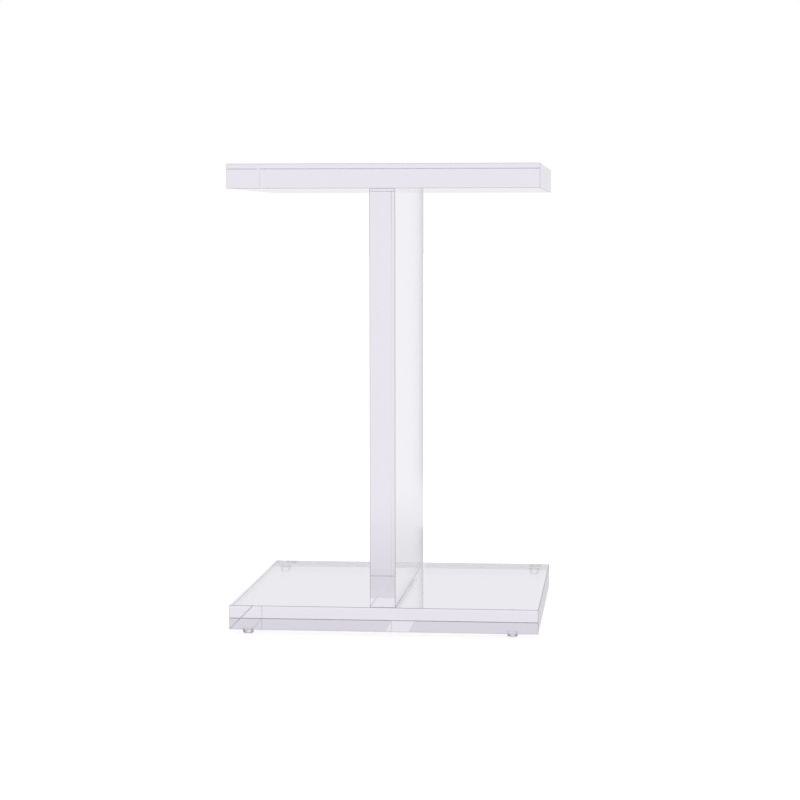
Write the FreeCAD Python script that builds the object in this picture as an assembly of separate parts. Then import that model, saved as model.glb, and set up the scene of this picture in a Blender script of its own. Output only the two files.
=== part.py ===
"""Clear acrylic stand: a square top slab and a square base slab joined by one upright slab.

The three slabs are cemented edge to face, so the stand reads as an I from the front, and the
base stands on four self-adhesive clear bumpers. Millimetres, +Z up, +X right, front at -Y.
The origin is on the floor, under the middle of the stand.
"""
import FreeCAD, Part
import os
from math import cos, radians, sin, sqrt

# --- slabs: the top and the base are cut to one outline --------------------------------------
SLAB_WIDTH = 304.8           # X, 12 in
SLAB_DEPTH = 304.8           # Y, 12 in
TOP_THICKNESS = 24.0         # 1 in nominal cast sheet
BASE_THICKNESS = 24.0
UPRIGHT_THICKNESS = 25.0     # X; 1 in nominal cast sheet from another batch
UPRIGHT_HEIGHT = 408.9       # Z, between the two cement lines
UPRIGHT_SETBACK = 0.0        # the upright's long edges finish flush with the slabs' edges
EDGE_CHAMFER = 0.4           # scraped and polished arris on every edge of the three slabs

# --- cured cement at each end of the upright -------------------------------------------------
CEMENT_THICKNESS = 0.15
CEMENT_SETBACK = 0.1         # it stops this far inside the bonded flats

# --- bumpers -----------------------------------------------------------------------------------
FOOT_HEIGHT = 5.0            # below its adhesive disc
FOOT_TOP_RADIUS = 5.8        # stuck face
FOOT_BOTTOM_RADIUS = 4.9     # where the tapered wall would meet the floor
FOOT_EDGE_RADIUS = 1.4       # round at the lower rim
ADHESIVE_THICKNESS = 0.15
ADHESIVE_SETBACK = 0.3       # the disc's radius is this much under the stuck face's

# Bumpers are stuck on by hand, so each has its own place: its side and its end of the base,
# then its centre's inset from that side edge and from that end edge.
LEFT, RIGHT, FRONT, BACK = -1, 1, -1, 1
FOOT_PLACES = {
    "front_left": (LEFT, FRONT, 17.0, 12.4),
    "front_right": (RIGHT, FRONT, 25.9, 17.8),
    "back_left": (LEFT, BACK, 13.9, 21.9),
    "back_right": (RIGHT, BACK, 15.9, 13.9),
}

# --- levels ------------------------------------------------------------------------------------
BASE_BOTTOM = FOOT_HEIGHT + ADHESIVE_THICKNESS
BASE_TOP = BASE_BOTTOM + BASE_THICKNESS
UPRIGHT_BOTTOM = BASE_TOP + CEMENT_THICKNESS
UPRIGHT_TOP = UPRIGHT_BOTTOM + UPRIGHT_HEIGHT
TOP_BOTTOM = UPRIGHT_TOP + CEMENT_THICKNESS


def centred_box(width, depth, height, bottom):
    """A box centred on the Z axis, with its underside at the given level."""
    corner = FreeCAD.Vector(-width / 2, -depth / 2, bottom)
    return Part.makeBox(width, depth, height, corner)


def slab(width, depth, height, bottom):
    """A flat slab with every arris chamfered."""
    block = centred_box(width, depth, height, bottom)
    return block.makeChamfer(EDGE_CHAMFER, block.Edges)


def cement_line(bottom):
    """Cured cement between the flat of the upright's end and the flat of a slab."""
    margin = EDGE_CHAMFER + CEMENT_SETBACK
    width = UPRIGHT_THICKNESS - 2 * margin
    depth = SLAB_DEPTH - 2 * (UPRIGHT_SETBACK + margin)
    return centred_box(width, depth, CEMENT_THICKNESS, bottom)


def foot_centre(side, end, side_inset, end_inset):
    """The middle of a bumper, measured in from the base's edges."""
    return side * (SLAB_WIDTH / 2 - side_inset), end * (SLAB_DEPTH / 2 - end_inset)


def foot_outline():
    """Half the bumper's section: a wall that tapers to the floor, with a rounded lower rim."""
    lean = (FOOT_TOP_RADIUS - FOOT_BOTTOM_RADIUS) / FOOT_HEIGHT
    slope = sqrt(1 + lean * lean)
    rim = FOOT_BOTTOM_RADIUS - FOOT_EDGE_RADIUS * (slope - lean)
    middle_of_rim = radians(-45)
    floor_middle = FreeCAD.Vector(0, 0, 0)
    floor_rim = FreeCAD.Vector(rim, 0, 0)
    round_middle = FreeCAD.Vector(
        rim + FOOT_EDGE_RADIUS * cos(middle_of_rim), 0, FOOT_EDGE_RADIUS * (1 + sin(middle_of_rim)))
    wall_start = FreeCAD.Vector(
        rim + FOOT_EDGE_RADIUS / slope, 0, FOOT_EDGE_RADIUS * (1 - lean / slope))
    stuck_rim = FreeCAD.Vector(FOOT_TOP_RADIUS, 0, FOOT_HEIGHT)
    stuck_middle = FreeCAD.Vector(0, 0, FOOT_HEIGHT)
    return Part.Wire([
        Part.LineSegment(floor_middle, floor_rim).toShape(),
        Part.Arc(floor_rim, round_middle, wall_start).toShape(),
        Part.LineSegment(wall_start, stuck_rim).toShape(),
        Part.LineSegment(stuck_rim, stuck_middle).toShape(),
        Part.LineSegment(stuck_middle, floor_middle).toShape(),
    ])


def foot(x, y):
    """A clear bumper, turned about its own upright axis."""
    pad = Part.Face(foot_outline()).revolve(FreeCAD.Vector(0, 0, 0), FreeCAD.Vector(0, 0, 1), 360)
    pad.translate(FreeCAD.Vector(x, y, 0))
    return pad


def adhesive_disc(x, y):
    """The pressure-sensitive disc between a bumper and the base."""
    radius = FOOT_TOP_RADIUS - ADHESIVE_SETBACK
    return Part.makeCylinder(radius, ADHESIVE_THICKNESS, FreeCAD.Vector(x, y, FOOT_HEIGHT))


def build():
    """Every piece by name."""
    upright_depth = SLAB_DEPTH - 2 * UPRIGHT_SETBACK
    pieces = {
        "top_slab": slab(SLAB_WIDTH, SLAB_DEPTH, TOP_THICKNESS, TOP_BOTTOM),
        "upright_slab": slab(UPRIGHT_THICKNESS, upright_depth, UPRIGHT_HEIGHT, UPRIGHT_BOTTOM),
        "base_slab": slab(SLAB_WIDTH, SLAB_DEPTH, BASE_THICKNESS, BASE_BOTTOM),
        "upper_cement_line": cement_line(UPRIGHT_TOP),
        "lower_cement_line": cement_line(BASE_TOP),
    }
    for place, spot in FOOT_PLACES.items():
        x, y = foot_centre(*spot)
        pieces["foot_" + place] = foot(x, y)
        pieces["foot_adhesive_" + place] = adhesive_disc(x, y)
    return pieces


os.makedirs("parts", exist_ok=True)
for name, shape in build().items():
    shape.exportStep("parts/" + name + ".step")
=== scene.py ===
"""Clear acrylic stand: the looks of its slabs, cement lines and bumpers, in a pale studio.

Metres, +Z up, +X right, front at -Y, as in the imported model.
"""
import logging
from dataclasses import dataclass, field
from enum import Enum
from math import cos, pi, radians, sin
from typing import Any

import bmesh
import bpy
from mathutils import Euler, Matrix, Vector


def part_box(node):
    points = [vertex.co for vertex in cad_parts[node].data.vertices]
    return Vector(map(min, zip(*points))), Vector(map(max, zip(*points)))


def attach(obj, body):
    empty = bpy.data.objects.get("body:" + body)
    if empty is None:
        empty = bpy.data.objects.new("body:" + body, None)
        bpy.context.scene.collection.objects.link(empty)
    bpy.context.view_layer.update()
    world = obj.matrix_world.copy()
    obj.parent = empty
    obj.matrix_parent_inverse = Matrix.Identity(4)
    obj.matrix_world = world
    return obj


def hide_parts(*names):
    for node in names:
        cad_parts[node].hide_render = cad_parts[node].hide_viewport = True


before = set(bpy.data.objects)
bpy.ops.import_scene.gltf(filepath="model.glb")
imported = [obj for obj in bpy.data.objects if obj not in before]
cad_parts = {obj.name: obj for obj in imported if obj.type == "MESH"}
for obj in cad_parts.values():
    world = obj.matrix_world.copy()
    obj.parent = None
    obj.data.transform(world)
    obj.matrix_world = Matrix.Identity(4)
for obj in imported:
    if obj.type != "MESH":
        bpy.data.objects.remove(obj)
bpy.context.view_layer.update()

MM = 0.001
ACRYLIC_IOR = 1.49
BODY = "root"
Colour = tuple[float, float, float]
Way = tuple[int, int, int]

log = logging.getLogger("acrylic_stand")


# --- node helpers ------------------------------------------------------------------------------


@dataclass
class Tree:
    """A node tree being built, with short calls to add and join its nodes."""

    nodes: bpy.types.NodeTree

    def add(
            self, kind: str, settings: dict[str, Any] | None = None, **values: Any) -> bpy.types.Node:
        """Adds one node.

        Args:
            kind: The node's type name.
            settings: Properties of the node itself.
            values: Input values by socket name, with _ for a space, or in0, in1 for a place.

        Returns:
            The new node.
        """
        node = self.nodes.nodes.new(kind)
        for name, value in (settings or {}).items():
            setattr(node, name, value)
        for name, value in values.items():
            self.put(self.socket(node, name), value)
        return node

    def socket(self, node: bpy.types.Node, name: str) -> bpy.types.NodeSocket:
        """Finds an input by its place, such as in0, or by its name."""
        if name[:2] == "in" and name[2:].isdigit():
            return node.inputs[int(name[2:])]
        return node.inputs[name.replace("_", " ")]

    def put(self, socket: bpy.types.NodeSocket, value: Any) -> None:
        """Links an output to the input, or sets the input's plain value."""
        if isinstance(value, bpy.types.NodeSocket):
            self.nodes.links.new(value, socket)
        else:
            socket.default_value = value

    def math(self, operation: str, first: Any, second: Any = 0.0) -> bpy.types.NodeSocket:
        """A Math node on two numbers or outputs, and its result."""
        return self.add("ShaderNodeMath", {"operation": operation}, in0=first, in1=second).outputs[0]

    def vector_math(self, operation: str, **values: Any) -> bpy.types.NodeSocket:
        """A Vector Math node and its vector result."""
        return self.add("ShaderNodeVectorMath", {"operation": operation}, **values).outputs[0]

    def ramp(
            self, value: Any, start: float, end: float, low: float = 0.0,
            high: float = 1.0) -> bpy.types.NodeSocket:
        """A smooth step of value from low at start to high at end."""
        node = self.add(
            "ShaderNodeMapRange", {"interpolation_type": "SMOOTHSTEP"},
            Value=value, From_Min=start, From_Max=end, To_Min=low, To_Max=high)
        return node.outputs["Result"]

    def mix_colour(self, share: Any, first: Any, second: Any) -> bpy.types.NodeSocket:
        """A colour between first, at share 0, and second, at share 1."""
        node = self.add("ShaderNodeMix", {"data_type": "RGBA"})
        self.put(node.inputs["Factor"], share)
        for socket, value in ((node.inputs[6], first), (node.inputs[7], second)):
            self.put(socket, value if isinstance(value, bpy.types.NodeSocket) else (*value, 1.0))
        return node.outputs[2]


def new_group(name: str, kind: str, sockets: list[tuple[str, str, str, Any]]) -> Tree:
    """Starts a node group with named sockets.

    Args:
        name: The group's name.
        kind: The type of node tree.
        sockets: For each socket its name, INPUT or OUTPUT, its type and its starting value or None.

    Returns:
        The empty group, ready for its nodes.
    """
    group = bpy.data.node_groups.new(name, kind)
    for label, side, socket_type, value in sockets:
        socket = group.interface.new_socket(label, in_out=side, socket_type=socket_type)
        if value is not None:
            socket.default_value = value
    return Tree(group)


def ripple_group() -> bpy.types.NodeTree:
    """The long shallow ripple that casting and polishing leave on acrylic, as a height in metres."""
    tree = new_group("polish_ripple", "ShaderNodeTree", [
        ("Vector", "INPUT", "NodeSocketVector", None),
        ("Stretch", "INPUT", "NodeSocketVector", (1.0, 1.0, 1.0)),
        ("Wavelength", "INPUT", "NodeSocketFloat", 40 * MM),
        ("Depth", "INPUT", "NodeSocketFloat", 0.01 * MM),
        ("Height", "OUTPUT", "NodeSocketFloat", None),
    ])
    given = tree.add("NodeGroupInput").outputs
    per_metre = tree.math("DIVIDE", 1.0, given["Wavelength"])
    stretched = tree.vector_math("MULTIPLY", in0=given["Vector"], in1=given["Stretch"])
    scaled = tree.vector_math("SCALE", in0=stretched, Scale=per_metre)
    noise = tree.add("ShaderNodeTexNoise", Vector=scaled, Scale=1.0, Detail=1.5, Roughness=0.4)
    height = tree.math("MULTIPLY", noise.outputs["Fac"], given["Depth"])
    tree.add("NodeGroupOutput", Height=height)
    return tree.nodes


def handling_group() -> bpy.types.NodeTree:
    """Marks of handling: hairline scratches in short runs and broad faint smudges."""
    runs_at = ((0.4, 55.0), (2.1, 70.0))
    run_stretch, run_lean = 0.05, 0.6
    hair_width = (0.004, 0.012)
    bend = 0.02
    scratched_patches, smudge_edges = (0.56, 0.7), (0.5, 0.75)
    tree = new_group("handling_marks", "ShaderNodeTree", [
        ("Vector", "INPUT", "NodeSocketVector", None),
        ("Clean Roughness", "INPUT", "NodeSocketFloat", 0.0),
        ("Scratch Roughness", "INPUT", "NodeSocketFloat", 0.03),
        ("Smudge Roughness", "INPUT", "NodeSocketFloat", 0.004),
        ("Roughness", "OUTPUT", "NodeSocketFloat", None),
        ("Mask", "OUTPUT", "NodeSocketFloat", None),
    ])
    given = tree.add("NodeGroupInput").outputs
    bent = tree.add("ShaderNodeTexNoise", Vector=given["Vector"], Scale=9.0, Detail=1.0)
    warped = tree.vector_math(
        "MULTIPLY_ADD", in0=bent.outputs["Color"], in1=(bend, bend, bend), in2=given["Vector"])
    runs = []
    for turn, pitch in runs_at:
        along = pitch * run_stretch
        turned = tree.add(
            "ShaderNodeMapping", Vector=warped, Rotation=(turn, turn * run_lean, turn),
            Scale=(pitch, along, along))
        hair = tree.add(
            "ShaderNodeTexVoronoi", {"feature": "DISTANCE_TO_EDGE"}, Vector=turned.outputs[0], Scale=1.0)
        runs.append(tree.ramp(hair.outputs["Distance"], *hair_width, 1.0, 0.0))
    patches = tree.add("ShaderNodeTexNoise", Vector=given["Vector"], Scale=14.0, Detail=2.0)
    where = tree.ramp(patches.outputs["Fac"], *scratched_patches)
    scratches = tree.math("MULTIPLY", tree.math("MAXIMUM", *runs), where)
    smudge = tree.add("ShaderNodeTexNoise", Vector=given["Vector"], Scale=6.0, Detail=3.0)
    smudges = tree.ramp(smudge.outputs["Fac"], *smudge_edges)
    scratch_share = tree.math("MULTIPLY", scratches, given["Scratch Roughness"])
    smudge_share = tree.math("MULTIPLY", smudges, given["Smudge Roughness"])
    rough = tree.math("ADD", tree.math("ADD", given["Clean Roughness"], scratch_share), smudge_share)
    tree.add("NodeGroupOutput", Roughness=rough, Mask=scratches)
    return tree.nodes


# --- finishes ----------------------------------------------------------------------------------


class Face(Enum):
    """Which finish a face of a clear piece has. The values are its material slots."""

    CAST = 0
    CUT = 1
    # the arris and corner finishes are rough or polished edges darkened with painted shade
    ARRIS = 2
    FINE_ARRIS_PAINTED_SHADE = 3
    GROUND_ARRIS_PAINTED_SHADE = 4
    CORNER = 5
    LONG_ARRIS = 6
    BOND = 7


@dataclass(frozen=True)
class ClearFinish:
    """A see-through plastic surface: its tint, its bend of light, its polish and its ripple.

    A clear share under 1 stands for light lost at a rough narrow edge. A dark tint, the inside shade and
    the grazing shade are painted shade: they darken edges and rims by the side and slant they are seen at.
    """

    name: str
    tint: Colour
    mark_tint: Colour
    ior: float = ACRYLIC_IOR
    clear_share: float = 1.0
    clean_roughness: float = 0.0
    scratch_roughness: float = 0.03
    smudge_roughness: float = 0.0
    stretch: tuple[float, float, float] = (1.0, 1.0, 1.0)
    wavelength: float = 60 * MM
    depth: float = 0.004 * MM
    # painted shade: the tone seen from inside the plastic, and the darker tone seen at a slant
    inside_shade: Colour | None = None
    grazing_shade: Colour | None = None
    grazing_shade_reach: tuple[float, float] = (0.12, 0.4)

    def material(self) -> bpy.types.Material:
        """Builds the finish's material, or gives back the one already built."""
        made = bpy.data.materials.get(self.name)
        if made is not None:
            return made
        made = bpy.data.materials.new(self.name)
        made.use_nodes = True
        made.node_tree.nodes.clear()
        tree = Tree(made.node_tree)
        place = tree.add("ShaderNodeTexCoord").outputs["Object"]
        marks = tree.add(
            "ShaderNodeGroup", {"node_tree": bpy.data.node_groups["handling_marks"]},
            Vector=place, Clean_Roughness=self.clean_roughness,
            Scratch_Roughness=self.scratch_roughness, Smudge_Roughness=self.smudge_roughness)
        ripple = tree.add(
            "ShaderNodeGroup", {"node_tree": bpy.data.node_groups["polish_ripple"]},
            Vector=place, Stretch=self.stretch, Wavelength=self.wavelength, Depth=self.depth)
        colour = tree.mix_colour(marks.outputs["Mask"], self.tint, self.mark_tint)
        # painted shade: a different tone where the face is seen from inside the plastic
        if self.inside_shade is not None:
            from_inside = tree.add("ShaderNodeNewGeometry").outputs["Backfacing"]
            colour = tree.mix_colour(from_inside, colour, self.inside_shade)
        # painted shade: darker where the face turns away from the view
        if self.grazing_shade is not None:
            turned_away = tree.add("ShaderNodeLayerWeight", Blend=0.5).outputs["Facing"]
            colour = tree.mix_colour(tree.ramp(turned_away, *self.grazing_shade_reach), colour, self.grazing_shade)
        bump = tree.add("ShaderNodeBump", Strength=1.0, Distance=1.0, Height=ripple.outputs["Height"])
        plastic = tree.add(
            "ShaderNodeBsdfPrincipled", Base_Color=colour, Roughness=marks.outputs["Roughness"],
            Normal=bump.outputs["Normal"], IOR=self.ior, Transmission_Weight=self.clear_share)
        tree.add("ShaderNodeOutputMaterial", Surface=plastic.outputs["BSDF"])
        return made


@dataclass(frozen=True)
class BondFinish:
    """A face wetted by cement or adhesive, where light goes on unbent."""

    name: str = "wetted_face"

    def material(self) -> bpy.types.Material:
        """Builds the finish's material, or gives back the one already built."""
        made = bpy.data.materials.get(self.name)
        if made is None:
            made = bpy.data.materials.new(self.name)
            made.use_nodes = True
            made.node_tree.nodes.clear()
            tree = Tree(made.node_tree)
            clear = tree.add("ShaderNodeBsdfTransparent")
            tree.add("ShaderNodeOutputMaterial", Surface=clear.outputs[0])
        return made


@dataclass(frozen=True)
class FilmFinish:
    """A thin film between two clear faces: nearly invisible, with specks and tiny bubbles."""

    name: str
    colour: Colour
    speck_colour: Colour
    film_alpha: float
    speck_alpha: float
    speck_pitch: float = 6 * MM
    speck_edge: tuple[float, float] = (0.03, 0.06)
    roughness: float = 0.3

    def material(self) -> bpy.types.Material:
        """Builds the finish's material."""
        made = bpy.data.materials.new(self.name)
        made.use_nodes = True
        made.node_tree.nodes.clear()
        tree = Tree(made.node_tree)
        place = tree.add("ShaderNodeTexCoord").outputs["Object"]
        cells = tree.add("ShaderNodeTexVoronoi", Vector=place, Scale=1 / self.speck_pitch)
        speck = tree.ramp(cells.outputs["Distance"], *self.speck_edge, 1.0, 0.0)
        alpha = tree.math("ADD", self.film_alpha, tree.math("MULTIPLY", speck, self.speck_alpha))
        film = tree.add(
            "ShaderNodeBsdfPrincipled", Roughness=self.roughness, IOR=ACRYLIC_IOR,
            Base_Color=tree.mix_colour(speck, self.colour, self.speck_colour), Alpha=alpha)
        tree.add("ShaderNodeOutputMaterial", Surface=film.outputs["BSDF"])
        return made


CAST_FACE = ClearFinish(
    "acrylic_cast_face", (0.98, 0.975, 0.99), (0.95, 0.95, 0.96), depth=0.0015 * MM)
# painted shade: seen at a slant, the polished edge turns darker and a deeper lavender
CUT_EDGE = ClearFinish(
    "acrylic_polished_edge", (0.925, 0.9, 0.955), (0.88, 0.86, 0.92), stretch=(1.0, 1.0, 0.35),
    wavelength=45 * MM, depth=0.003 * MM, grazing_shade=(0.8, 0.66, 0.97), grazing_shade_reach=(0.7, 0.95))
# painted shade: the arris and corner finishes are tinted dark, and darker or lighter again from inside, so
# the clear edges show dark lines; their roughness and clear share are the real edge finish
ARRIS = ClearFinish(
    "acrylic_scraped_arris_painted_shade", (0.3, 0.28, 0.33), (0.26, 0.24, 0.29), clear_share=0.6,
    clean_roughness=0.16, smudge_roughness=0.08, wavelength=9 * MM, depth=0.02 * MM,
    inside_shade=(0.16, 0.15, 0.18))
FINE_ARRIS_PAINTED_SHADE = ClearFinish(
    "acrylic_fine_arris_painted_shade", (0.35, 0.33, 0.38), (0.3, 0.28, 0.33), clear_share=0.95,
    clean_roughness=0.14, smudge_roughness=0.06, wavelength=9 * MM, depth=0.02 * MM,
    inside_shade=(0.22, 0.21, 0.24))
GROUND_ARRIS_PAINTED_SHADE = ClearFinish(
    "acrylic_ground_arris_painted_shade", (0.12, 0.11, 0.14), (0.1, 0.09, 0.12), clear_share=0.2, clean_roughness=0.3,
    smudge_roughness=0.08, wavelength=5 * MM, depth=0.02 * MM)
CORNER = ClearFinish(
    "acrylic_polished_corner_painted_shade", (0.3, 0.28, 0.33), (0.26, 0.24, 0.29), clean_roughness=0.03,
    smudge_roughness=0.03, wavelength=9 * MM, depth=0.005 * MM, inside_shade=(0.95, 0.94, 0.96))
LONG_ARRIS = ClearFinish(
    "acrylic_long_arris_painted_shade", (0.09, 0.08, 0.11), (0.08, 0.07, 0.1), clean_roughness=0.1, smudge_roughness=0.06,
    wavelength=9 * MM, depth=0.02 * MM, inside_shade=(0.95, 0.94, 0.97))
WETTED = BondFinish()
# painted shade: the bumper's rims turn dark where they face away from the view, so its sides look dark and
# its middle clear
BUMPER = ClearFinish(
    "bumper_clear_polyurethane", (0.93, 0.9, 0.89), (0.83, 0.81, 0.8), ior=1.5, clean_roughness=0.03,
    smudge_roughness=0.05, wavelength=4 * MM, depth=0.01 * MM, grazing_shade=(0.25, 0.23, 0.24),
    grazing_shade_reach=(0.07, 0.28))
CEMENT = FilmFinish(
    "cured_acrylic_cement", (0.93, 0.92, 0.95), (0.8, 0.8, 0.84), film_alpha=0.02, speck_alpha=0.25)
ADHESIVE = FilmFinish(
    "bumper_adhesive_film", (0.9, 0.89, 0.91), (0.75, 0.75, 0.78), film_alpha=0.05, speck_alpha=0.3,
    speck_pitch=1.5 * MM)

# in the order of Face's values
FINISHES = (CAST_FACE, CUT_EDGE, ARRIS, FINE_ARRIS_PAINTED_SHADE, GROUND_ARRIS_PAINTED_SHADE, CORNER, LONG_ARRIS, WETTED)


# --- clear slabs -------------------------------------------------------------------------------


def way_out(offset: Vector, least: float) -> Way:
    """The way an offset points on each axis: -1, 1, or 0 where it is under the least that counts."""
    return tuple(0 if abs(n) < least else int(n / abs(n)) for n in offset)


@dataclass(frozen=True)
class Patch:
    """The wetted part of a level face: a closed outline at one height."""

    corners: tuple[tuple[float, float], ...]
    level: float

    @staticmethod
    def of_film(low: Vector, high: Vector, level: float) -> "Patch":
        """The footprint of a cement line, on a face at this level."""
        corners = ((low.x, low.y), (high.x, low.y), (high.x, high.y), (low.x, high.y))
        return Patch(corners, level)

    @staticmethod
    def of_disc(low: Vector, high: Vector, level: float, sides: int = 48) -> "Patch":
        """The footprint of an adhesive disc, on a face at this level."""
        centre = (low + high) / 2
        radius = (high.x - low.x) / 2
        turns = [2 * pi * i / sides for i in range(sides)]
        rim = tuple((centre.x + radius * cos(t), centre.y + radius * sin(t)) for t in turns)
        return Patch(rim, level)


@dataclass
class ClearSlab:
    """One slab of cast acrylic: scraped arrises with painted shade, polished edges and wetted patches at
    its bonds.
    """

    node: str
    upright: bool = False
    patches: list[Patch] = field(default_factory=list)
    left_square: tuple[Way, ...] = ()
    usual_arris: Face = Face.ARRIS
    other_arrises: dict[Way, Face] = field(default_factory=dict)
    arris: float = 0.4 * MM
    arris_steps: int = 3
    arris_profile: float = 0.5
    flatness: float = 0.999

    def build(self) -> bpy.types.Object:
        """Makes the slab where its CAD node is.

        Returns:
            The finished piece, riding on the body and standing for its CAD node.
        """
        low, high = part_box(self.node)
        shape = bmesh.new()
        corners = bmesh.ops.create_cube(shape, size=1.0)["verts"]
        bmesh.ops.scale(shape, vec=high - low, verts=corners)
        bmesh.ops.translate(shape, vec=(low + high) / 2, verts=corners)
        bmesh.ops.bevel(
            shape, geom=self.scraped_edges(shape, (low + high) / 2), offset=self.arris,
            offset_type="OFFSET", segments=self.arris_steps, profile=self.arris_profile,
            affect="EDGES")
        for level in sorted({patch.level for patch in self.patches}):
            self.wet(shape, level)
        bmesh.ops.recalc_face_normals(shape, faces=shape.faces)
        self.dress(shape)
        mesh = bpy.data.meshes.new(self.node + "_clear")
        shape.to_mesh(mesh)
        shape.free()
        for finish in FINISHES:
            mesh.materials.append(finish.material())
        piece = bpy.data.objects.new(mesh.name, mesh)
        bpy.context.scene.collection.objects.link(piece)
        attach(piece, BODY)
        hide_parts(self.node)
        return piece

    def scraped_edges(self, shape: bmesh.types.BMesh, middle: Vector) -> list[bmesh.types.BMEdge]:
        """Every edge but those left square.

        Args:
            shape: The block being made.
            middle: Its middle.

        Returns:
            The edges to scrape.
        """
        scraped = []
        for edge in shape.edges:
            out = (edge.verts[0].co + edge.verts[1].co) / 2 - middle
            if way_out(out, self.arris) not in self.left_square:
                scraped.append(edge)
        return scraped

    def wet(self, shape: bmesh.types.BMesh, level: float) -> None:
        """Cuts this level's wetted patches into the flat face there.

        Args:
            shape: The slab being made.
            level: The height of the face.
        """
        near = self.arris / 2
        flat = next(
            f for f in shape.faces
            if abs(f.normal.z) > self.flatness and abs(f.calc_center_median().z - level) < near)
        rim = list(flat.edges)
        height = flat.calc_center_median().z
        bmesh.ops.delete(shape, geom=[flat], context="FACES_ONLY")
        for patch in self.patches:
            if patch.level != level:
                continue
            loop = [shape.verts.new((x, y, height)) for x, y in patch.corners]
            wetted = shape.faces.new(loop)
            wetted.material_index = Face.BOND.value
            rim += list(wetted.edges)
        bmesh.ops.triangle_fill(shape, use_beauty=True, use_dissolve=False, edges=rim)

    def dress(self, shape: bmesh.types.BMesh) -> None:
        """Gives each face its finish by the way it faces, and smooths the arrises."""
        for f in shape.faces:
            if f.material_index != Face.BOND.value:
                f.material_index = self.finish_of(f.normal).value
                f.smooth = max(abs(n) for n in f.normal) < self.flatness

    def finish_of(self, normal: Vector) -> Face:
        """Chooses a face's finish by the way it faces.

        Args:
            normal: The face's normal.

        Returns:
            The finish.
        """
        way = way_out(normal, 1 - self.flatness)
        cast_axis = 0 if self.upright else 2
        if way.count(0) == 2:
            return Face.CAST if way[cast_axis] else Face.CUT
        if way in self.other_arrises:
            return self.other_arrises[way]
        if not way[cast_axis]:
            return Face.CORNER
        return self.usual_arris if way[2] else Face.LONG_ARRIS


@dataclass
class CementedSlabs:
    """The three slabs and the cement lines that make them one rigid stand.

    An edge is named by its way out from the slab's middle, 0 along its own run. Each edge's finish,
    and with it the painted shade that darkens the edge, was chosen for the line that its image makes
    inside the slabs. It is only assumed that cement fills the corners along the upright's two long top
    edges, and that the base's lower back edge is as sawn.
    """

    top: str = "top_slab"
    upright: str = "upright_slab"
    base: str = "base_slab"
    upper_line: str = "upper_cement_line"
    lower_line: str = "lower_cement_line"
    filled_corners: tuple[Way, ...] = ((-1, 0, 1), (1, 0, 1))
    saw_cut_edges: tuple[Way, ...] = ((0, 1, -1),)
    top_arrises: dict[Way, Face] = field(default_factory=lambda: {(-1, 0, 1): Face.CUT})
    upright_arrises: dict[Way, Face] = field(
        default_factory=lambda: {(-1, 0, -1): Face.FINE_ARRIS_PAINTED_SHADE, (1, 0, -1): Face.GROUND_ARRIS_PAINTED_SHADE})
    base_arrises: dict[Way, Face] = field(
        default_factory=lambda: {(-1, 0, -1): Face.GROUND_ARRIS_PAINTED_SHADE, (1, 0, 1): Face.GROUND_ARRIS_PAINTED_SHADE})

    def build(self, discs: list[str]) -> list[bpy.types.Object]:
        """Makes the slabs and dresses the cement lines.

        Args:
            discs: The nodes of the adhesive discs under the base.

        Returns:
            The pieces made or dressed.
        """
        top_low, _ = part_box(self.top)
        base_low, base_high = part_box(self.base)
        upright_low, upright_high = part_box(self.upright)
        upper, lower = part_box(self.upper_line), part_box(self.lower_line)
        slabs = [
            ClearSlab(
                self.top, usual_arris=Face.FINE_ARRIS_PAINTED_SHADE, other_arrises=self.top_arrises,
                patches=[Patch.of_film(*upper, top_low.z)]),
            ClearSlab(
                self.upright, upright=True, left_square=self.filled_corners,
                other_arrises=self.upright_arrises, patches=[
                    Patch.of_film(*lower, upright_low.z), Patch.of_film(*upper, upright_high.z)]),
            ClearSlab(
                self.base, left_square=self.saw_cut_edges, other_arrises=self.base_arrises,
                patches=[Patch.of_film(*lower, base_high.z)] + [
                    Patch.of_disc(*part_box(disc), base_low.z) for disc in discs]),
        ]
        pieces = [slab.build() for slab in slabs]
        cement = CEMENT.material()
        return pieces + [dress_node(name, cement) for name in (self.upper_line, self.lower_line)]


def dress_node(name: str, material: bpy.types.Material) -> bpy.types.Object:
    """Gives a carried-over CAD node its material, and returns the node."""
    node = bpy.data.objects[name]
    node.data.materials.clear()
    node.data.materials.append(material)
    return node


# --- bumpers -----------------------------------------------------------------------------------


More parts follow.
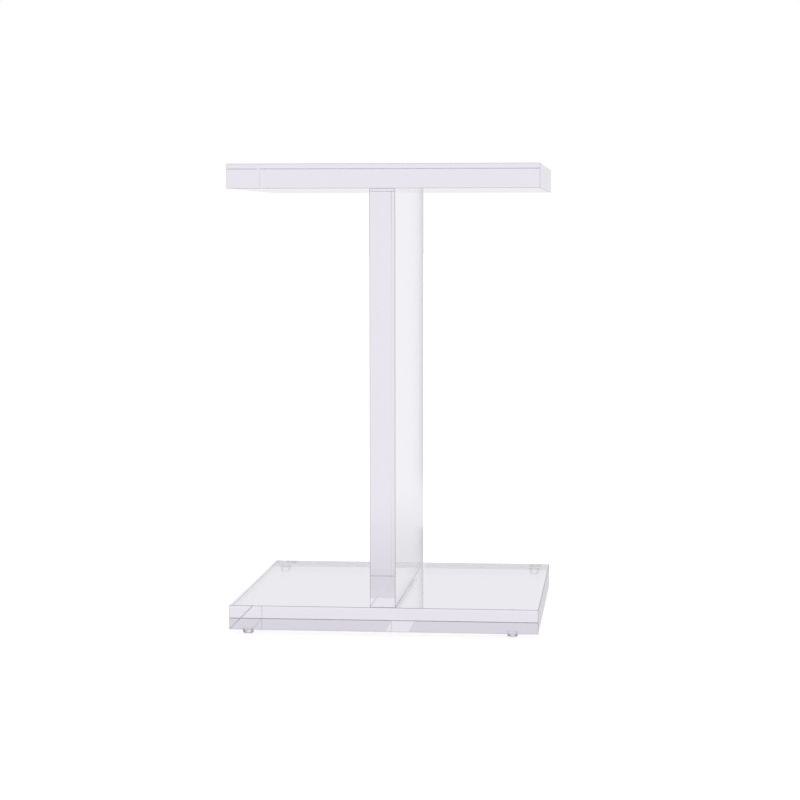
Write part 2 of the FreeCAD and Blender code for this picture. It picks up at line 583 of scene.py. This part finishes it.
@dataclass
class ClearBumpers:
    """The self-adhesive bumpers, each turned by one node tree at its own place."""

    places: tuple[str, ...] = ("front_left", "front_right", "back_left", "back_right")
    floor_radius: float = 4.9 * MM
    rim_radius: float = 1.4 * MM
    stuck_rim_radius: float = 0.25 * MM
    turn_steps: int = 64
    rim_steps: int = 8
    crease: float = radians(35)
    merge_distance: float = 0.001 * MM
    level_slack: float = 0.01 * MM

    def discs(self) -> list[str]:
        """The nodes of the adhesive discs."""
        return ["foot_adhesive_" + place for place in self.places]

    def build(self) -> list[bpy.types.Object]:
        """Makes every bumper and dresses every adhesive disc.

        Returns:
            The pieces made or dressed.
        """
        turning = self.turning()
        pieces = [self.bumper(turning, place) for place in self.places]
        film = ADHESIVE.material()
        return pieces + [dress_node(name, film) for name in self.discs()]

    def bumper(self, turning: bpy.types.NodeTree, place: str) -> bpy.types.Object:
        """Makes one bumper where its CAD node is.

        Args:
            turning: The node tree that turns a bumper.
            place: Which corner of the base it is under.

        Returns:
            The finished piece.
        """
        node = "foot_" + place
        low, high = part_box(node)
        disc_low, disc_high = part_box("foot_adhesive_" + place)
        centre = (low + high) / 2
        maker = bpy.data.objects.new("maker", bpy.data.meshes.new("maker"))
        bpy.context.scene.collection.objects.link(maker)
        modifier = maker.modifiers.new("turning", "NODES")
        modifier.node_group = turning
        values = {
            "Centre": (centre.x, centre.y, low.z),
            "Height": high.z - low.z,
            "Stuck Radius": (high.x - low.x) / 2,
            "Disc Radius": (disc_high.x - disc_low.x) / 2,
            "Floor Radius": self.floor_radius,
            "Rim Radius": self.rim_radius,
            "Stuck Rim Radius": self.stuck_rim_radius,
        }
        for item in turning.interface.items_tree:
            if item.in_out == "INPUT" and item.name in values:
                modifier[item.identifier] = values[item.name]
        evaluated = maker.evaluated_get(bpy.context.evaluated_depsgraph_get())
        mesh = bpy.data.meshes.new_from_object(evaluated)
        mesh.name = node + "_clear"
        bpy.data.objects.remove(maker)
        mesh.set_sharp_from_angle(angle=self.crease)
        piece = bpy.data.objects.new(mesh.name, mesh)
        bpy.context.scene.collection.objects.link(piece)
        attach(piece, BODY)
        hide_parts(node)
        return piece

    def turning(self) -> bpy.types.NodeTree:
        """The tree that turns a bumper: a half section, filleted at its rims, sampled round the axis.

        Returns:
            The geometry node tree, with its sizes as named inputs.
        """
        tree = new_group("bumper_turning", "GeometryNodeTree", [
            ("Geometry", "INPUT", "NodeSocketGeometry", None),
            ("Centre", "INPUT", "NodeSocketVector", None),
            ("Height", "INPUT", "NodeSocketFloat", 5 * MM),
            ("Stuck Radius", "INPUT", "NodeSocketFloat", 5.8 * MM),
            ("Disc Radius", "INPUT", "NodeSocketFloat", 5.5 * MM),
            ("Floor Radius", "INPUT", "NodeSocketFloat", self.floor_radius),
            ("Rim Radius", "INPUT", "NodeSocketFloat", self.rim_radius),
            ("Stuck Rim Radius", "INPUT", "NodeSocketFloat", self.stuck_rim_radius),
            ("Geometry", "OUTPUT", "NodeSocketGeometry", None),
        ])
        given = tree.add("NodeGroupInput").outputs
        section = self.half_section(tree, given)
        turned = self.turned(tree, section)
        at_centre = tree.add("GeometryNodeMeshLine", Count=1, Start_Location=given["Centre"])
        placed = tree.add("GeometryNodeInstanceOnPoints", Points=at_centre.outputs[0], Instance=turned)
        real = tree.add("GeometryNodeRealizeInstances", Geometry=placed.outputs[0])
        clear = tree.add(
            "GeometryNodeSetMaterial", Geometry=real.outputs[0], Material=BUMPER.material())
        wetted = tree.add(
            "GeometryNodeSetMaterial", Geometry=clear.outputs[0], Material=WETTED.material(),
            Selection=self.wetted_faces(tree, given))
        tree.add("NodeGroupOutput", Geometry=wetted.outputs[0])
        return tree.nodes

    def half_section(self, tree: Tree, given: Any) -> bpy.types.NodeSocket:
        """The bumper's half section, from its axis at the floor to its axis at the stuck face.

        Args:
            tree: The tree being built.
            given: The outputs that hold the tree's inputs.

        Returns:
            The section's points as a mesh, X the radius and Z the height.
        """
        top = given["Height"]
        corners = ((0.0, 0.0), (given["Floor Radius"], 0.0), (given["Stuck Radius"], top),
                   (given["Disc Radius"], top), (0.0, top))
        radii = (0.0, given["Rim Radius"], given["Stuck Rim Radius"], 0.0, 0.0)
        index = tree.add("GeometryNodeInputIndex").outputs[0]
        spots = tree.add("GeometryNodeIndexSwitch", {"data_type": "VECTOR"}, Index=index)
        rounds = tree.add("GeometryNodeIndexSwitch", {"data_type": "FLOAT"}, Index=index)
        for switch in (spots, rounds):
            while len(switch.index_switch_items) < len(corners):
                switch.index_switch_items.new()
        for i, ((x, z), radius) in enumerate(zip(corners, radii)):
            spot = tree.add("ShaderNodeCombineXYZ", X=x, Z=z)
            tree.put(spots.inputs[i + 1], spot.outputs[0])
            tree.put(rounds.inputs[i + 1], radius)
        line = tree.add("GeometryNodeMeshLine", Count=len(corners))
        bent = tree.add("GeometryNodeSetPosition", Geometry=line.outputs[0], Position=spots.outputs[0])
        curve = tree.add("GeometryNodeMeshToCurve", Mesh=bent.outputs[0])
        filleted = tree.add(
            "GeometryNodeFilletCurve", {"mode": "POLY"}, Curve=curve.outputs[0],
            Radius=rounds.outputs[0], Count=self.rim_steps, Limit_Radius=True)
        return tree.add("GeometryNodeCurveToMesh", Curve=filleted.outputs[0]).outputs[0]

    def turned(self, tree: Tree, section: bpy.types.NodeSocket) -> bpy.types.NodeSocket:
        """Turns the half section about Z.

        Args:
            tree: The tree being built.
            section: The section's points.

        Returns:
            The closed turned mesh.
        """
        row = self.turn_steps + 1
        size = tree.add("GeometryNodeAttributeDomainSize", Geometry=section).outputs["Point Count"]
        sheet = tree.add("GeometryNodeMeshGrid", Size_X=1.0, Size_Y=1.0, Vertices_X=size, Vertices_Y=row)
        index = tree.add("GeometryNodeInputIndex").outputs[0]
        along = tree.math("FLOOR", tree.math("DIVIDE", tree.math("ADD", index, 0.5), row))
        position = tree.add("GeometryNodeInputPosition").outputs[0]
        spot = tree.add(
            "GeometryNodeSampleIndex", {"data_type": "FLOAT_VECTOR", "domain": "POINT"},
            Geometry=section, Value=position, Index=along)
        parts = tree.add("ShaderNodeSeparateXYZ", in0=spot.outputs[0]).outputs
        around = tree.math("MODULO", index, row)
        angle = tree.math("MULTIPLY", around, 2 * pi / self.turn_steps)
        x = tree.math("MULTIPLY", parts["X"], tree.math("COSINE", angle))
        y = tree.math("MULTIPLY", parts["X"], tree.math("SINE", angle))
        wound = tree.add("ShaderNodeCombineXYZ", X=x, Y=y, Z=parts["Z"])
        bent = tree.add(
            "GeometryNodeSetPosition", Geometry=sheet.outputs["Mesh"], Position=wound.outputs[0])
        closed = tree.add(
            "GeometryNodeMergeByDistance", Geometry=bent.outputs[0], Distance=self.merge_distance)
        outward = tree.add("GeometryNodeFlipFaces", Mesh=closed.outputs[0])
        return tree.add("GeometryNodeSetShadeSmooth", Geometry=outward.outputs[0]).outputs[0]

    def wetted_faces(self, tree: Tree, given: Any) -> bpy.types.NodeSocket:
        """Picks the faces that the adhesive disc wets.

        Args:
            tree: The tree being built.
            given: The outputs that hold the tree's inputs.

        Returns:
            True on those faces.
        """
        position = tree.add("GeometryNodeInputPosition").outputs[0]
        away = tree.vector_math("SUBTRACT", in0=position, in1=given["Centre"])
        parts = tree.add("ShaderNodeSeparateXYZ", in0=away).outputs
        squares = [tree.math("POWER", parts[axis], 2.0) for axis in ("X", "Y")]
        near = tree.math("LESS_THAN", tree.math("SQRT", tree.math("ADD", *squares)), given["Disc Radius"])
        least = tree.math("SUBTRACT", given["Height"], self.level_slack)
        high = tree.math("GREATER_THAN", parts["Z"], least)
        return tree.math("MULTIPLY", near, high)


# --- studio ------------------------------------------------------------------------------------


@dataclass
class Studio:
    """A pale seamless studio and its camera.

    It is not one real room. Light that goes straight through the plastic sees the backdrop's tone
    all round, light mirrored outside sees dim wings too, and light mirrored inside the plastic
    sees a dim front and a dark overhead as well. What the floor and the slabs scatter is lit evenly.
    Seen through the plastic, the floor glows with painted shadow near the stand and ahead of it.
    """

    backdrop: Colour = (0.898, 0.889, 0.915)
    wings: Colour = (0.6, 0.59, 0.62)
    overhead: Colour = (0.09, 0.085, 0.1)
    open_white: float = 1.0
    soft_light: float = 1.2
    floor_paint: Colour = (0.3, 0.3, 0.3)
    floor_glow: float = 0.78
    # painted shadow: the floor's tone near the stand, as seen through the plastic
    floor_shadow_tone: Colour = (0.766, 0.757, 0.795)
    floor_shadow_reach: tuple[float, float] = (0.2, 1.2)
    # the dim front of the surround, and the painted shade on the floor ahead of the stand
    before: Colour = (0.38, 0.36, 0.4)
    before_reach: tuple[float, float] = (0.5, 1.2)
    wing_reach: tuple[float, float] = (0.5, 0.95)
    dome_reach: tuple[float, float] = (0.3, 0.6)
    before_rise: tuple[float, float] = (0.0, 0.12)
    ahead_reach: tuple[float, float] = (-0.7, -0.4)
    floor_size: float = 60.0
    floor_gap: float = 0.05 * MM
    lens: float = 102.6
    sensor_width: float = 36.0
    clip: tuple[float, float] = (0.05, 100.0)
    eye: tuple[float, float, float] = (0.2380, -2.3512, 0.4017)
    pitch: float = radians(4.358)
    yaw: float = radians(5.732)
    roll: float = radians(0.035)
    clear_bounces: int = 32
    mirror_bounces: int = 16
    film_layers: int = 48

    def build(self) -> None:
        """Makes the surround, the floor and the camera."""
        self.surround()
        self.floor()
        self.camera()

    def surround(self) -> None:
        """The light all round: a bright backdrop, dim wings, a dim front and a dark overhead."""
        world = bpy.data.worlds.new("studio")
        bpy.context.scene.world = world
        world.use_nodes = True
        world.node_tree.nodes.clear()
        tree = Tree(world.node_tree)
        way = tree.add("ShaderNodeTexCoord").outputs["Generated"]
        parts = tree.add("ShaderNodeSeparateXYZ", in0=way).outputs
        sideways = tree.ramp(tree.math("ABSOLUTE", parts["X"]), *self.wing_reach)
        path = tree.add("ShaderNodeLightPath").outputs
        inside = tree.math("MINIMUM", path["Transmission Depth"], 1.0)
        ahead = tree.math("MULTIPLY", tree.ramp(parts["Y"], *self.ahead_reach, 1.0, 0.0), inside)
        front = tree.mix_colour(
            tree.ramp(parts["Z"], *self.before_rise), self.before, self.overhead)
        sides = tree.mix_colour(sideways, self.backdrop, self.wings)
        ring = tree.mix_colour(ahead, sides, front)
        above = tree.math("MULTIPLY", tree.ramp(parts["Z"], *self.dome_reach), inside)
        flagged = tree.mix_colour(above, ring, self.overhead)
        mirrored = tree.math("MINIMUM", path["Glossy Depth"], 1.0)
        dome = tree.add(
            "ShaderNodeBackground", Color=tree.mix_colour(mirrored, self.backdrop, flagged))
        light = tree.add("ShaderNodeBackground", Strength=self.soft_light)
        white = tree.add("ShaderNodeBackground", Strength=self.open_white)
        for plain in (light, white):
            plain.inputs["Color"].default_value = (1.0, 1.0, 1.0, 1.0)
        spread = tree.math("MINIMUM", path["Diffuse Depth"], 1.0)
        given = tree.add(
            "ShaderNodeMixShader", in0=spread, in1=dome.outputs[0], in2=light.outputs[0])
        both = tree.add(
            "ShaderNodeMixShader", in0=path["Is Camera Ray"], in1=given.outputs[0],
            in2=white.outputs[0])
        tree.add("ShaderNodeOutputWorld", Surface=both.outputs[0])
        world.cycles.sampling_method = "NONE"

    def floor(self) -> None:
        """The plain pale floor; seen through the plastic it glows with painted shadow near and ahead of the
        stand, and takes the backdrop's tone with distance.
        """
        mesh = bpy.data.meshes.new("floor")
        half, level = self.floor_size / 2, -self.floor_gap
        corners = [(x * half, y * half, level) for x, y in ((-1, -1), (1, -1), (1, 1), (-1, 1))]
        mesh.from_pydata(corners, [], [(0, 1, 2, 3)])
        material = bpy.data.materials.new("pale_floor")
        material.use_nodes = True
        material.node_tree.nodes.clear()
        tree = Tree(material.node_tree)
        place = tree.add("ShaderNodeTexCoord").outputs["Object"]
        away = tree.add("ShaderNodeVectorMath", {"operation": "LENGTH"}, in0=place).outputs["Value"]
        forward = tree.math("MULTIPLY", tree.add("ShaderNodeSeparateXYZ", in0=place).outputs["Y"], -1.0)
        # painted shadow: seen through the plastic, the floor glows darker near the stand
        tone = tree.mix_colour(tree.ramp(away, *self.floor_shadow_reach), self.floor_shadow_tone, self.backdrop)
        path = tree.add("ShaderNodeLightPath").outputs
        mirrored = tree.math("MINIMUM", path["Glossy Depth"], 1.0)
        inside = tree.math("MINIMUM", path["Transmission Depth"], mirrored)
        # painted shade: darker ahead of the stand, for light both mirrored and sent through the plastic
        flagged = tree.math("MULTIPLY", tree.ramp(forward, *self.before_reach), inside)
        tone = tree.mix_colour(flagged, tone, self.before)
        glow = tree.add("ShaderNodeEmission", Color=tone)
        paint = tree.add("ShaderNodeBsdfDiffuse", Color=(*self.floor_paint, 1.0))
        white = tree.add("ShaderNodeEmission", Strength=self.floor_glow)
        pale = tree.add("ShaderNodeAddShader", in0=paint.outputs[0], in1=white.outputs[0])
        both = tree.add(
            "ShaderNodeMixShader", in0=path["Is Camera Ray"], in1=glow.outputs[0], in2=pale.outputs[0])
        tree.add("ShaderNodeOutputMaterial", Surface=both.outputs[0])
        mesh.materials.append(material)
        floor = bpy.data.objects.new("floor", mesh)
        bpy.context.scene.collection.objects.link(floor)

    def camera(self) -> None:
        """The camera, at eye level just under the top slab and a little to the right."""
        data = bpy.data.cameras.new("camera")
        data.lens = self.lens
        data.sensor_width = self.sensor_width
        data.clip_start, data.clip_end = self.clip
        camera = bpy.data.objects.new("camera", data)
        camera.location = self.eye
        camera.rotation_euler = Euler((radians(90) - self.pitch, self.roll, self.yaw), "XYZ")
        bpy.context.scene.collection.objects.link(camera)
        bpy.context.scene.camera = camera

    def tune(self) -> None:
        """Lets light pass through all the clear layers, and shows colours as they are."""
        scene = bpy.context.scene
        scene.view_settings.view_transform = "Standard"
        scene.cycles.max_bounces = self.clear_bounces
        scene.cycles.transmission_bounces = self.clear_bounces
        scene.cycles.glossy_bounces = self.mirror_bounces
        scene.cycles.transparent_max_bounces = self.film_layers


def main() -> None:
    """Builds the stand and its studio, and reports each piece."""
    logging.basicConfig(level=logging.INFO, format="%(name)s: %(message)s")
    ripple_group()
    handling_group()
    studio = Studio()
    studio.build()
    studio.tune()
    bumpers = ClearBumpers()
    pieces = CementedSlabs().build(bumpers.discs()) + bumpers.build()
    for piece in pieces:
        log.info("%s: %d faces", piece.name, len(piece.data.polygons))


if __name__ == "__main__":
    main()
